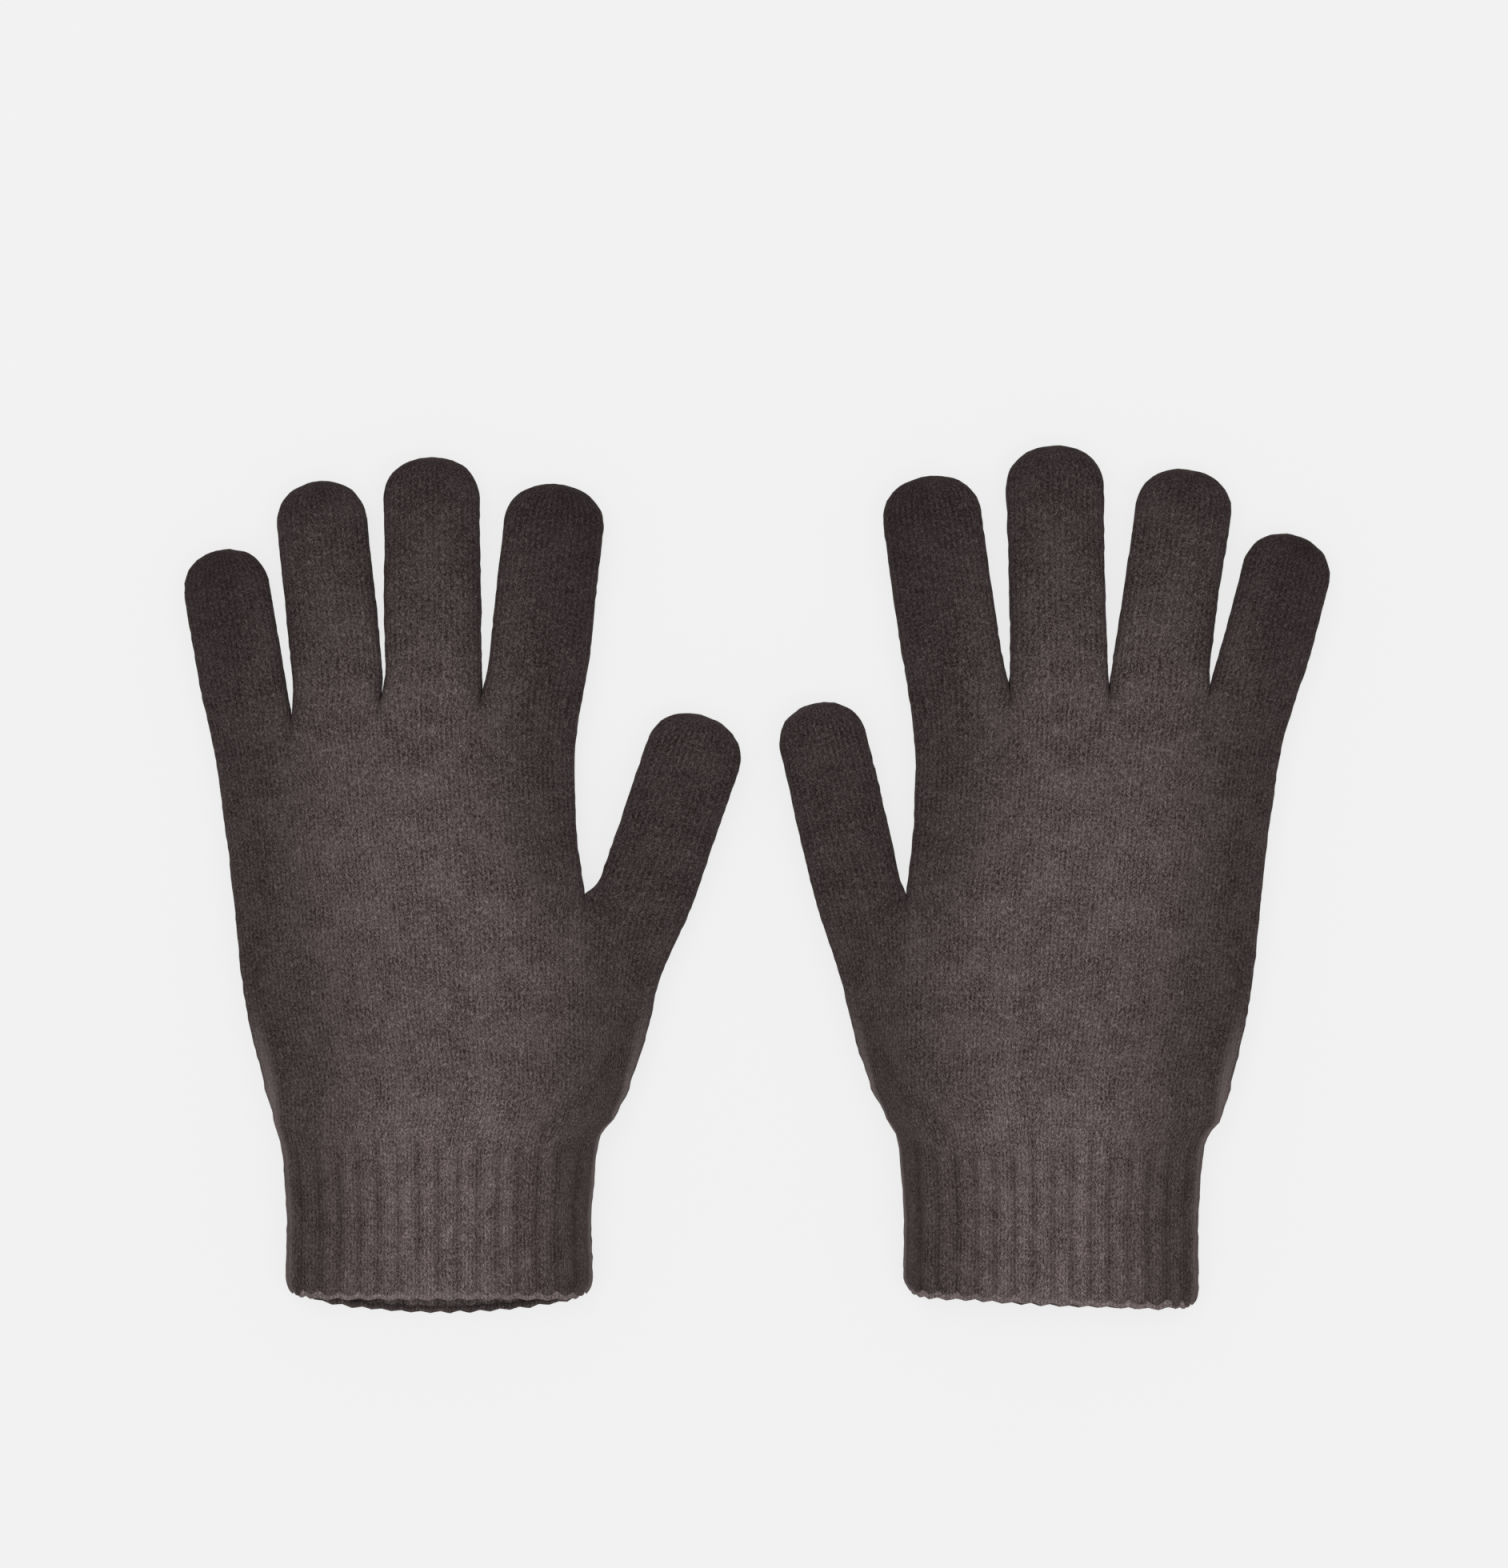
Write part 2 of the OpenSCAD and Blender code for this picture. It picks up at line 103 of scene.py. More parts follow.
def wide(u):
    return clamp(1 - np.abs(2 * u - 1) ** 3.2) ** (1 / 2.4)


def crease(past):
    return np.sqrt(1 - clamp(past) ** 2)


def treeOf(node):
    mesh = frame["nodes"][node].data
    return BVHTree.FromPolygons([v.co for v in mesh.vertices], [p.vertices for p in mesh.polygons])


def deselect():
    bpy.ops.object.select_all(action="DESELECT")


# one glove, or one finger of it, with whatever has been measured on it so far
class Measured:
    pass


# what the cad parts fix on one glove: x runs from the cuff's middle towards the thumb
def readGlove(side, turn):
    g = Measured()
    g.side, g.turn = side, turn
    wrist = joints[side + "_wrist_fold"]["pos_m"]
    g.mid, g.wristY = wrist[0], wrist[1]
    palmTree, cuffTree = treeOf(side + "_palm"), treeOf(side + "_cuff")
    g.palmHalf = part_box(side + "_palm")[1].z / 2
    g.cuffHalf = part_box(side + "_cuff")[1].z / 2
    g.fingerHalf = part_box(side + "_index_tip")[1].z / 2

    def shot(tree, x, y, z, way):
        found = tree.ray_cast(Vector((g.mid + turn * x, y, z)), Vector((turn * way[0], way[1], 0)))[0]
        return None if found is None else (turn * (found.x - g.mid), found.y)

    g.fingers = []
    for name in fingerNames + ["thumb"]:
        f = Measured()
        f.name = name
        root = joints[f"{side}_{name}_root_fold"]["pos_m"]
        middle = joints[f"{side}_{name}_middle_fold"]["pos_m"]
        f.at = np.array([turn * (root[0] - g.mid), root[1]])
        step = np.array([turn * (middle[0] - g.mid), middle[1]]) - f.at
        f.middleS = float(np.hypot(*step))
        f.along = step / f.middleS
        f.sideways = np.array([f.along[1], -f.along[0]])
        tip = np.array([v.co for v in frame["nodes"][f"{side}_{name}_tip"].data.vertices])
        flat = np.stack([turn * (tip[:, 0] - g.mid), tip[:, 1]], 1) - f.at
        f.half = float(np.ptp(flat @ f.sideways)) / 2 + 0.0001
        f.endS = float((flat @ f.along).max())
        g.fingers.append(f)
    # crotches: the lowest place a ray from above reaches between two fingers
    g.crotches = []
    for a, b in zip(g.fingers[:3], g.fingers[1:4]):
        top = min(a.at[1], b.at[1])
        left = a.at + a.sideways * a.half + a.along * (top - a.at[1])
        right = b.at - b.sideways * b.half + b.along * (top - b.at[1])
        found = [shot(palmTree, x, 0.09, g.fingerHalf, (0, -1))
                 for x in np.linspace(left[0] - 0.0015, right[0] + 0.0015, 50)]
        g.crotches.append(min((p for p in found if p and p[1] > 0.03), key=lambda p: p[1]))
    index, thumb = g.fingers[3], g.fingers[4]
    found = [shot(palmTree, x, 0.03, g.fingerHalf, (0, -1)) for x in np.linspace(0.0405, 0.049, 80)]
    g.thumbCrotch = np.array(min((p for p in found if p and p[1] > -0.02), key=lambda p: p[1]))
    # outlines of the hand and the cuff
    ys = np.linspace(g.wristY + 0.0015, g.crotches[0][1], 26)
    xs = [shot(palmTree, -0.13, y, 0.0068, (1, 0))[0] for y in ys]
    g.outer = lambda y, ys=ys, xs=xs: np.interp(y, ys, xs)
    g.thumbFar = thumb.at - thumb.along * 0.0095 + thumb.sideways * thumb.half
    sideYs = np.linspace(g.wristY + 0.0015, g.thumbFar[1] - 0.001, 16)
    sideXs = [shot(palmTree, 0.13, y, 0.0068, (-1, 0))[0] for y in sideYs]
    sideYs, sideXs = np.append(sideYs, g.thumbFar[1]), np.append(sideXs, g.thumbFar[0])
    g.thumbSide = lambda y: np.interp(y, sideYs, sideXs)
    indexYs = np.linspace(0.010, g.crotches[2][1], 14)
    indexXs = [shot(palmTree, 0.052, y, 0.0068, (-1, 0))[0] for y in indexYs]
    indexYs, indexXs = np.append(g.thumbCrotch[1], indexYs), np.append(g.thumbCrotch[0], indexXs)
    g.indexSide = lambda y: np.interp(y, indexYs, indexXs)
    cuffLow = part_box(side + "_cuff")[0].y
    cuffYs = np.linspace(cuffLow + 0.006, g.wristY - 0.0015, 20)
    cuffLeft = [shot(cuffTree, -0.09, y, g.cuffHalf, (1, 0))[0] for y in cuffYs]
    cuffRight = [shot(cuffTree, 0.09, y, g.cuffHalf, (-1, 0))[0] for y in cuffYs]
    g.cuffLeft = lambda y: np.where(y > cuffYs[-1], g.outer(y), np.interp(y, cuffYs, cuffLeft))
    g.cuffRight = lambda y: np.where(y > cuffYs[-1], g.thumbSide(y), np.interp(y, cuffYs, cuffRight))

    def cuffEnd(x, z):
        zIn = g.cuffHalf + (z - g.cuffHalf) * 0.83
        hit = shot(cuffTree, x * 0.975, cuffLow - 0.02, zIn, (0, 1))
        return hit[1] if hit else cuffLow
    g.cuffEnd = cuffEnd
    g.crotchX = [float(g.outer(g.crotches[0][1]))] + [c[0] for c in g.crotches] + [
        float(g.indexSide(g.crotches[2][1]))]
    g.crotchY = [g.crotches[0][1]] + [c[1] for c in g.crotches] + [g.crotches[2][1]]
    g.bounds = [(x - g.crotchX[0]) / (g.crotchX[4] - g.crotchX[0]) for x in g.crotchX]
    return g


# a dense row of points turned into evenly spaced ones
def evenly(dense, count):
    gap = np.sqrt((np.diff(dense, axis=0) ** 2).sum(1))
    run = np.concatenate([[0], np.cumsum(gap)])
    want = np.linspace(0, run[-1], count + 1)
    return np.stack([np.interp(want, run, dense[:, k]) for k in range(3)], 1)


denseT = (1 - np.cos(np.linspace(0, np.pi, 161))) / 2 * 0.35 + np.linspace(0, 1, 161) * 0.65


def faceZ(middle, h, top):
    return middle + h if top else np.maximum(0, middle - 1.05 * h)


# how much a point belongs to the thumb's side of the hand
def thumbShare(g, x, y):
    seam = seamX(g, y)
    return smooth((x - seam + 0.016) / 0.030)


# the line between the index finger's columns and the thumb's
def seamX(g, y):
    t = (y - g.wristY) / (g.thumbCrotch[1] - g.wristY)
    return mixOf(0.043, g.thumbCrotch[0], t)


# rows of the hand below the thumb's crotch
def lowRow(g, f, r, firstY, top, count):
    t = denseT
    level = g.thumbCrotch[1]
    u = (1 + across(t)) / 2
    drop = g.thumbFar[1] - level
    yEnd = level + drop * u if f == 4 else np.full_like(t, level)
    y = mixOf(firstY, yEnd, r)
    left = g.outer(y)
    right = g.thumbSide(np.minimum(y, g.thumbFar[1]))
    right = mixOf(right, g.thumbFar[0], smooth((y - g.thumbFar[1]) / 0.004)) if f < 4 else right
    seam = seamX(g, y)
    share = mixOf(g.bounds[min(f, 3)], g.bounds[min(f, 3) + 1], u)
    x = mixOf(seam, right, u) if f == 4 else mixOf(left, seam, share)
    run = clamp((y - g.wristY) / (level - g.wristY))
    half = mixOf(mixOf(g.cuffHalf, g.palmHalf, smooth(run * 2.2)),
                 g.fingerHalf, thumbShare(g, x, y) * run)
    whole = wide((x - left) / (right - left))
    parted = mixOf(rise(t), wide(u), 0.2) if f == 4 else wide((x - left) / (seam - left))
    h = half * mixOf(parted, whole, crease(1 - (yEnd - y) / knit["valley"]))
    return evenly(np.stack([x, y, faceZ(half, h, top)], 1), count)


# rows between the thumb's crotch and the fingers' crotches
def highRow(g, f, run, top, count):
    t = denseT
    u = (1 + across(t)) / 2
    yEnd = mixOf(g.crotchY[f], g.crotchY[f + 1], u)
    y = mixOf(g.thumbCrotch[1], yEnd, run)
    left, right = g.outer(y), g.indexSide(y)
    share = mixOf(g.bounds[f], g.bounds[f + 1], u)
    x = mixOf(left, right, share)
    fromThumb = thumbShare(g, x, np.full_like(x, g.thumbCrotch[1])) * clamp(1 - run * 2.2)
    half = mixOf(mixOf(g.palmHalf, g.fingerHalf, fromThumb), g.fingerHalf, run)
    h = half * mixOf(rise(t), wide(share), crease(1 - (yEnd - y) / knit["valley"]))
    return evenly(np.stack([x, y, faceZ(half, h, top)], 1), count)


# one row of a finger's tube at distance s from its root fold
def tubeRow(g, finger, s, top, count):
    t = denseT
    run = clamp((s - (finger.endS - knit["dome"])) / knit["dome"])
    shrink = (1 - run ** 2.1) ** (1 / 2.1)
    n = finger.half * shrink * across(t)
    h = g.fingerHalf * shrink ** 0.85 * rise(t)
    x = finger.at[0] + finger.along[0] * s + finger.sideways[0] * n
    y = finger.at[1] + finger.along[1] * s + finger.sideways[1] * n
    return evenly(np.stack([x, y, faceZ(g.fingerHalf, h, top)], 1), count)


# rows of one finger from its crotch to its closed end
def fingerRows(g, finger, crotchRow, top, count):
    flat = crotchRow[:, :2] - finger.at
    s0, n0, z0 = flat @ finger.along, flat @ finger.sideways, crotchRow[:, 2]
    turnS = s0.max() + (0.006 if finger.name == "thumb" else 0.008)
    rows, stub = [], 8
    for k in range(1, stub + 1):
        q = k / stub
        s = s0 + (turnS - s0) * q
        ring = tubeRow(g, finger, turnS, top, count)
        ringN = (ring[:, :2] - finger.at) @ finger.sideways
        n, z = mixOf(n0, ringN, 1 - (1 - q) ** 2), mixOf(z0, ring[:, 2], smooth(q))
        rows.append(np.stack([finger.at[0] + finger.along[0] * s + finger.sideways[0] * n,
                              finger.at[1] + finger.along[1] * s + finger.sideways[1] * n, z], 1))
    domeAt = finger.endS - knit["dome"]
    foldAt = finger.middleS - finger.middleZone
    marks = [turnS, foldAt, domeAt]
    for a, b in zip(marks, marks[1:]):
        steps = max(1, int(round((b - a) / knit["row"])))
        rows += [tubeRow(g, finger, s, top, count) for s in np.linspace(a, b, steps + 1)[1:]]
        if b == foldAt:
            finger.foldRow = len(rows)
    for phi in np.linspace(0, math.pi / 2, 15)[1:]:
        rows.append(tubeRow(g, finger, domeAt + knit["dome"] * math.sin(phi), top, count))
    return rows


# the whole top or bottom of the cuff at one height, as a dense line from the outer side to the thumb's
def cuffRow(g, y, top, morph, places):
    a = (g.cuffRight(y) - g.cuffLeft(y)) / 2
    centre = (g.cuffRight(y) + g.cuffLeft(y)) / 2
    b = g.cuffHalf
    q = np.linspace(0, 1, 401)
    arc, flat = math.pi * b / 2, a - b
    total = 2 * (arc + flat)
    at = q * total
    first, last = at < arc, at > arc + 2 * flat
    ang = np.where(first, at / arc, (at - arc - 2 * flat) / arc) * math.pi / 2
    x = np.where(first, -flat - b * np.cos(ang), np.where(last, flat + b * np.sin(ang), at - arc - flat))
    z = np.where(first, b * np.sin(ang), np.where(last, b * np.cos(ang), b))
    u = (1 - np.cos(np.pi * q)) / 2
    hx, hz = mixOf(-a, a, u), b * wide(u)
    run = np.concatenate([[0], np.cumsum(np.hypot(np.diff(hx), np.diff(hz)))])
    hx, hz = np.interp(places * run[-1], run, hx), np.interp(places * run[-1], run, hz)
    ox, oz = np.interp(places, q, x), np.interp(places, q, z)
    zz = mixOf(hz, oz, morph)
    return centre + mixOf(hx, ox, morph), faceZ(b, zz, top)


def clothGrid(name, points, layers):
    rows, count = points.shape[0] - 1, points.shape[1] - 1
    deselect()
    bpy.ops.mesh.primitive_grid_add(x_subdivisions=count, y_subdivisions=rows, size=2)
    ob = bpy.context.object
    ob.name = name
    mesh = ob.data
    unit = np.zeros(len(mesh.vertices) * 3)
    mesh.vertices.foreach_get("co", unit)
    unit = unit.reshape(-1, 3)
    i = np.rint((unit[:, 0] + 1) / 2 * count).astype(int)
    j = np.rint((unit[:, 1] + 1) / 2 * rows).astype(int)
    mesh.vertices.foreach_set("co", points[j, i].ravel())
    mesh.uv_layers[0].name = "fabric"
    loops = np.zeros(len(mesh.loops), int)
    mesh.loops.foreach_get("vertex_index", loops)
    uv = np.stack([layers["u"][j, i], layers["v"][j, i]], 1)[loops]
    mesh.uv_layers[0].data.foreach_set("uv", uv.ravel())
    # the points also carry painted light and shade, besides their place on the fabric and their relief
    for key in ("tone", "rim", "furrow", "relief", "pieceId"):
        spot = mesh.attributes.new(key, "FLOAT", "POINT")
        spot.data.foreach_set("value", layers[key][j, i].astype(np.float32).ravel())
    return ob


cuffShape = {
    "rows": 35,
    "crowding": 1.3,        # rows lie closer together towards the end
    "corner": 0.0046,       # radius at the corners of the end
    "turnIn": 0.86,
    "bead": 0.0012,         # radius of the rolled edge
}
pieceNames = ["cuff", "hand"] + [n + k for n in fingerNames + ["thumb"] for k in ("_base", "_tip")]


def buildSkin(g):
    g.ends, g.places = {}, {}
    for f in g.fingers:
        f.middleZone = min(folds["middle"], f.middleS * 0.47)
        f.startS = -folds["root"]
    startY = g.wristY + folds["wrist"]
    lowSteps = int(round((g.thumbCrotch[1] - startY) / knit["row"]))
    highSteps = int(round((0.052 - g.thumbCrotch[1]) / knit["row"]))
    cuffSteps = cuffShape["rows"]
    grids = {}
    for top in (True, False):
        for f in range(5):
            rows = [lowRow(g, f, j / lowSteps, startY, top, cols) for j in range(lowSteps + 1)]
            if f < 4:
                rows += [highRow(g, f, j / highSteps, top, cols) for j in range(1, highSteps + 1)]
            split = len(rows) - 1
            finger = g.fingers[f]
            tube = fingerRows(g, finger, rows[-1], top, cols)
            finger.splitRow = cuffSteps + split
            crotchS = ((rows[-1][:, :2] - finger.at) @ finger.along).max()
            finger.startS = max(finger.startS, float(crotchS) + 0.0003)
            rows += tube
            grids[f, top] = np.array(rows)
    # the outline has no corners: rows near a crotch are eased along the free sides
    for (f, top), rows in grids.items():
        if f in (1, 2):
            continue
        t = np.linspace(0, 1, rows.shape[1])
        free = smooth(1 - t / 0.7) if f == 0 else smooth((t - 0.3) / 0.7)
        at = g.fingers[f].splitRow - cuffSteps
        near = smooth(1 - np.abs(np.arange(len(rows)) - at) / 14.0)
        amount = (near[:, None] * free[None, :])[:, :, None]
        for k in range(40):
            soft = rows.copy()
            soft[1:-1] = (rows[:-2] + rows[2:]) / 2
            rows += (soft - rows) * amount * 0.8
    # the cuff goes on from the hand's first row, column by column
    for top in (True, False):
        first = np.concatenate([grids[f, top][0][: cols + (f == 4)] for f in range(5)])
        run = np.concatenate([[0], np.cumsum(np.sqrt((np.diff(first, axis=0) ** 2).sum(1)))])
        places = run / run[-1]
        endX, endZ = cuffRow(g, g.wristY - 0.045, top, 1.0, places)
        ends = np.array([g.cuffEnd(x, z) for x, z in zip(endX, endZ)]) - 0.0010
        line = []
        for j in range(cuffSteps + 1):
            q = 1 - (1 - j / cuffSteps) ** cuffShape["crowding"]
            ys = mixOf(startY, ends, q)
            y = mixOf(startY, float(np.median(ends)), q)
            morph = float(smooth((startY - y) / 0.012))
            x, z = cuffRow(g, y, top, morph, places)
            fade = smooth(1 - (startY - ys) / 0.008)
            x, z = mixOf(x, first[:, 0], fade), mixOf(z, first[:, 2], fade)
            # the corners at the cuff's end are rounded
            corner = cuffShape["corner"]
            past = cuffShape["turnIn"] * (1 - clamp((ys - ends) / corner))
            inset = corner * (1 - np.sqrt(1 - past ** 2))
            centre = (x[0] + x[-1]) / 2
            away = np.abs(x - centre) / (np.ptp(x) / 2)
            x = x - np.sign(x - centre) * inset * clamp((away - 0.80) / 0.20)
            line.append(np.stack([x, ys, z], 1))
        line = np.array(line)[::-1]
        g.ends[top] = line[0]
        for f in range(5):
            part = line[:-1, f * cols:(f + 1) * cols + 1]
            grids[f, top] = np.concatenate([part, grids[f, top]])
        g.places[top] = places
    # neighbours share their edge columns, and the two faces share the sides
    for top in (True, False):
        for f in range(4):
            last = g.fingers[min(f + 1, 4)].splitRow if f + 1 == 4 else min(
                g.fingers[f].splitRow, g.fingers[f + 1].splitRow)
            grids[f, top][: last + 1, -1] = grids[f + 1, top][: last + 1, 0]
    for f in range(5):
        up, down = grids[f, True], grids[f, False]
        leftFrom = 0 if f == 0 else (g.fingers[4].splitRow if f == 4 else g.fingers[f].splitRow)
        rightFrom = 0 if f == 4 else (g.fingers[4].splitRow if f == 3 else g.fingers[f].splitRow)
        down[leftFrom:, 0] = up[leftFrom:, 0]
        down[rightFrom:, -1] = up[rightFrom:, -1]
    return grids, cuffSteps


ribs = {
    "count": 34,            # all the way round
    "depth": 0.0007,
    "sharp": 0.30,          # lower gives broader ribs and narrower furrows
    "fadeLength": 0.011,    # over which they run out into the hand
}


# what each point of a grid carries: place on the fabric, relief, painted light and shade, and the piece
# it's in
def layersFor(g, grids, f, top, cuffSteps):
    points = grids[f, top]
    rows, count = points.shape[0], points.shape[1]
    finger = g.fingers[f]
    i = np.arange(count)[None, :].repeat(rows, 0)
    j = np.arange(rows)[:, None].repeat(count, 1)
    step = np.sqrt((np.diff(points, axis=0) ** 2).sum(2))
    v = np.concatenate([np.zeros((1, count)), np.cumsum(step, 0)])
    v = v - v[cuffSteps][None, :]
    column = (f * cols + i)
    u = column / knit["steps"] * knit["stitch"] * 1000
    layers = {"u": u if top else -u - 7.0 * (f + 1), "v": v * 1000}
    width = np.sqrt((np.diff(points, axis=1) ** 2).sum(2))
    pitch = np.concatenate([width, width[:, -1:]], 1) * knit["steps"]
    amount = smooth((pitch - 0.0006) / 0.0006)
    wave = np.cos(2 * np.pi * i / knit["steps"])
    relief = knit["waleDepth"] * wave * amount
    # ribs on the cuff, counted round it from the thumb's side
    places = g.places[top][f * cols:(f + 1) * cols + 1]
    around = (1 - places) / 2 if top else (1 + places) / 2
    crest = 0.5 + 0.5 * np.cos(2 * np.pi * ribs["count"] * around)
    inCuff = smooth((g.wristY - 0.0015 - points[:, :, 1]) / ribs["fadeLength"]) * (j <= cuffSteps)
    profile = crest ** ribs["sharp"]
    relief = relief * (1 - 0.4 * inCuff) + ribs["depth"] * (profile[None, :] - 0.78) * inCuff
    # painted shade: the furrows between the ribs are darkened
    layers["furrow"] = (1 - profile[None, :] ** 1.6) * inCuff
    # painted light and shade: the knit is painted lighter in the middle of the hand and darker at the sides
    # and the fingertips, where less light falls, and lighter down the cuff and near the thumb
    split = finger.splitRow
    t = i / (count - 1)
    edge = np.abs(2 * t - 1)
    x, y = points[:, :, 0], points[:, :, 1]
    left = g.outer(y)
    right = mixOf(g.thumbSide(np.minimum(y, g.thumbFar[1])), g.indexSide(y), smooth((y + 0.045) / 0.060))
    left, right = np.where(y < g.wristY, g.cuffLeft(y), left), np.where(y < g.wristY, g.cuffRight(y), right)
    handEdge = np.minimum(1, np.abs(2 * (x - left) / (right - left) - 1))
    handEdge[split + 1:] = handEdge[split][None, :]
    s = clamp((j - split) / max(1, rows - 1 - split))
    steps = (0.84, 0.74, 0.70, 0.68) if f == 4 else (0.84, 0.66, 0.48, 0.22)
    alongPaintedShading = np.interp(s, (0, 0.3, 0.6, 0.95), steps)
    before = steps[0] + (1 - steps[0]) * smooth((split - j) / 26)
    alongPaintedShading = np.where(j <= split, before, alongPaintedShading)
    tone = (1 - 0.56 * smooth((handEdge - 0.22) / 0.78)) * alongPaintedShading
    tone = tone * (1 - 0.22 * edge ** 3 * smooth((j - split + 4) / 8))
    tone = tone * (1 + 0.22 * smooth((-0.050 - y) / 0.030))
    nearThumb = smooth((x - 0.028) / 0.022) * smooth((y + 0.050) / 0.030)
    if f < 4:
        nearThumb = nearThumb * smooth(1 - (y - g.thumbCrotch[1]) / 0.020)
    tone = tone * (1 + 0.24 * nearThumb)
    layers["tone"] = tone
    # painted light: a lighter band about 4 mm in from the sides of the cuff, where the fold catches the
    # light
    rim = np.zeros((rows, count))
    if f in (0, 4):
        fromSide = (i if f == 0 else count - 1 - i) / knit["steps"] * knit["stitch"]
        low = smooth((-0.030 - points[:, :, 1]) / 0.03)
        rim = smooth(1 - np.abs(fromSide - 0.004) / 0.0045) * low
    layers["rim"] = rim
    layers["relief"] = relief
    layers["pieceId"] = np.where(j < cuffSteps, 0, np.where(j < split, 1, np.where(
        j < split + finger.foldRow, 2 + 2 * f, 3 + 2 * f)))
    return layers


def selectFaces(ob, mask):
    ob.data.vertices.foreach_set("select", np.zeros(len(ob.data.vertices), bool))
    ob.data.edges.foreach_set("select", np.zeros(len(ob.data.edges), bool))
    ob.data.polygons.foreach_set("select", mask)


# the grids become one skin, which is relaxed, given its relief and cut into pieces with a thickness
def makeGlove(side, turn):
    g = readGlove(side, turn)
    grids, cuffSteps = buildSkin(g)
    parts = []
    for (f, top), points in grids.items():
        layers = layersFor(g, grids, f, top, cuffSteps)
        placed = points.copy()
        placed[:, :, 0] = g.mid + turn * placed[:, :, 0]
        ob = clothGrid(f"{side}Sheet{f}{top}", placed, layers)
        parts.append(ob)
        # a face takes the piece of its lower row
        ids = np.zeros(len(ob.data.vertices), np.float32)
        ob.data.attributes["pieceId"].data.foreach_get("value", ids)
        corner = np.zeros(len(ob.data.loops), int)
        ob.data.loops.foreach_get("vertex_index", corner)
        faceIds = ids[corner].reshape(-1, 4).min(1).astype(np.int32)
        ob.data.attributes.remove(ob.data.attributes["pieceId"])
        ob.data.attributes.new("piece", "INT", "FACE").data.foreach_set("value", faceIds)
    deselect()
    for ob in parts:
        ob.select_set(True)
    bpy.context.view_layer.objects.active = parts[0]
    bpy.ops.object.join()
    skin = bpy.context.object
    skin.name = side + "Skin"
    bpy.ops.object.mode_set(mode="EDIT")
    bpy.ops.mesh.select_all(action="SELECT")
    bpy.ops.mesh.remove_doubles(threshold=3e-6)
    bpy.ops.mesh.normals_make_consistent(inside=False)
    bpy.ops.mesh.vertices_smooth(factor=0.5, repeat=2)
    bpy.ops.object.mode_set(mode="OBJECT")
    mesh = skin.data
    count = len(mesh.vertices)
    co, normal, relief = np.zeros(count * 3), np.zeros(count * 3), np.zeros(count)
    mesh.vertices.foreach_get("co", co)
    mesh.vertex_normals.foreach_get("vector", normal)
    mesh.attributes["relief"].data.foreach_get("value", relief)
    co, normal = co.reshape(-1, 3), normal.reshape(-1, 3)
    # soft unevenness: broad swells, and small lumps that show on the outline
    seed = Vector((3.1, 7.7, 1.3)) if side == "left" else Vector((11.9, 2.2, 5.4))
    broad = np.array([noise.noise(Vector(p) * 42 + seed) for p in co])
    small = np.array([noise.noise(Vector(p) * 420 + seed) for p in co])
    lift = relief + broad * 0.00035 + small * 0.00028
    co = co + normal * lift[:, None]
    co[:, 2] = np.maximum(co[:, 2], 0.0001)
    mesh.vertices.foreach_set("co", co.ravel())
    mesh.update()
    normal = np.zeros(count * 3)
    mesh.vertex_normals.foreach_get("vector", normal)
    mesh.attributes.new("wholeNormal", "FLOAT_VECTOR", "POINT").data.foreach_set("vector", normal)
    pieces = {}
    for k, name in enumerate(pieceNames[:-1]):
        ids = np.zeros(len(skin.data.polygons), np.int32)
        skin.data.attributes["piece"].data.foreach_get("value", ids)
        deselect()
        skin.select_set(True)
        bpy.context.view_layer.objects.active = skin
        selectFaces(skin, ids == k)
        bpy.ops.object.mode_set(mode="EDIT")
        bpy.ops.mesh.select_mode(type="FACE")
        bpy.ops.mesh.separate(type="SELECTED")
        bpy.ops.object.mode_set(mode="OBJECT")
        pieces[name] = next(o for o in bpy.context.selected_objects if o != skin)
    pieces[pieceNames[-1]] = skin
    for name, ob in pieces.items():
        ob.name = side + "_" + name + "_knit"
        deselect()
        ob.select_set(True)
        bpy.context.view_layer.objects.active = ob
        outside = len(ob.data.vertices)
        wall = ob.modifiers.new("wall", "SOLIDIFY")
        wall.thickness = knit["wall"]
        wall.offset = -1
        bpy.ops.object.modifier_apply(modifier="wall")
        bpy.ops.object.shade_smooth()
        mesh = ob.data
        total = len(mesh.vertices)
        own, kept = np.zeros(total * 3), np.zeros(total * 3)
        mesh.vertex_normals.foreach_get("vector", own)
        mesh.attributes["wholeNormal"].data.foreach_get("vector", kept)
        own, kept = own.reshape(-1, 3), kept.reshape(-1, 3)
        # the outside keeps the normals of the whole skin, so no cut shows
        own[:outside] = kept[:outside]
        mesh.normals_split_custom_set_from_vertices(own.tolist())
        for key in ("wholeNormal", "relief", "piece"):
            mesh.attributes.remove(mesh.attributes[key])
    print("stage: skin of the", side, "glove,", sum(len(o.data.polygons) for o in pieces.values()), "faces")
    return g, pieces


# materials
def newGroup(name, inputs, outputs):
    group = bpy.data.node_groups.new(name, "ShaderNodeTree")
    for kind, label, value in inputs:
        made = group.interface.new_socket(name=label, in_out="INPUT", socket_type=kind)
        if value is not None:
            made.default_value = value
    for kind, label in outputs:
        group.interface.new_socket(name=label, in_out="OUTPUT", socket_type=kind)
    return group, group.nodes.new("NodeGroupInput"), group.nodes.new("NodeGroupOutput")


def math2(tree, kind, a, b=None, clampIt=False):
    node = tree.nodes.new("ShaderNodeMath")
    node.operation = kind
    node.use_clamp = clampIt
    for k, value in enumerate((a, b)):
        if value is None:
            continue
        if isinstance(value, (int, float)):
            node.inputs[k].default_value = value
        else:
            tree.links.new(value, node.inputs[k])
    return node.outputs[0]


def remap(tree, value, low, high, outLow=0.0, outHigh=1.0):
    node = tree.nodes.new("ShaderNodeMapRange")
    node.interpolation_type = "SMOOTHSTEP"
    tree.links.new(value, node.inputs["Value"])
    for key, number in (("From Min", low), ("From Max", high), ("To Min", outLow), ("To Max", outHigh)):
        node.inputs[key].default_value = number
    return node.outputs["Result"]


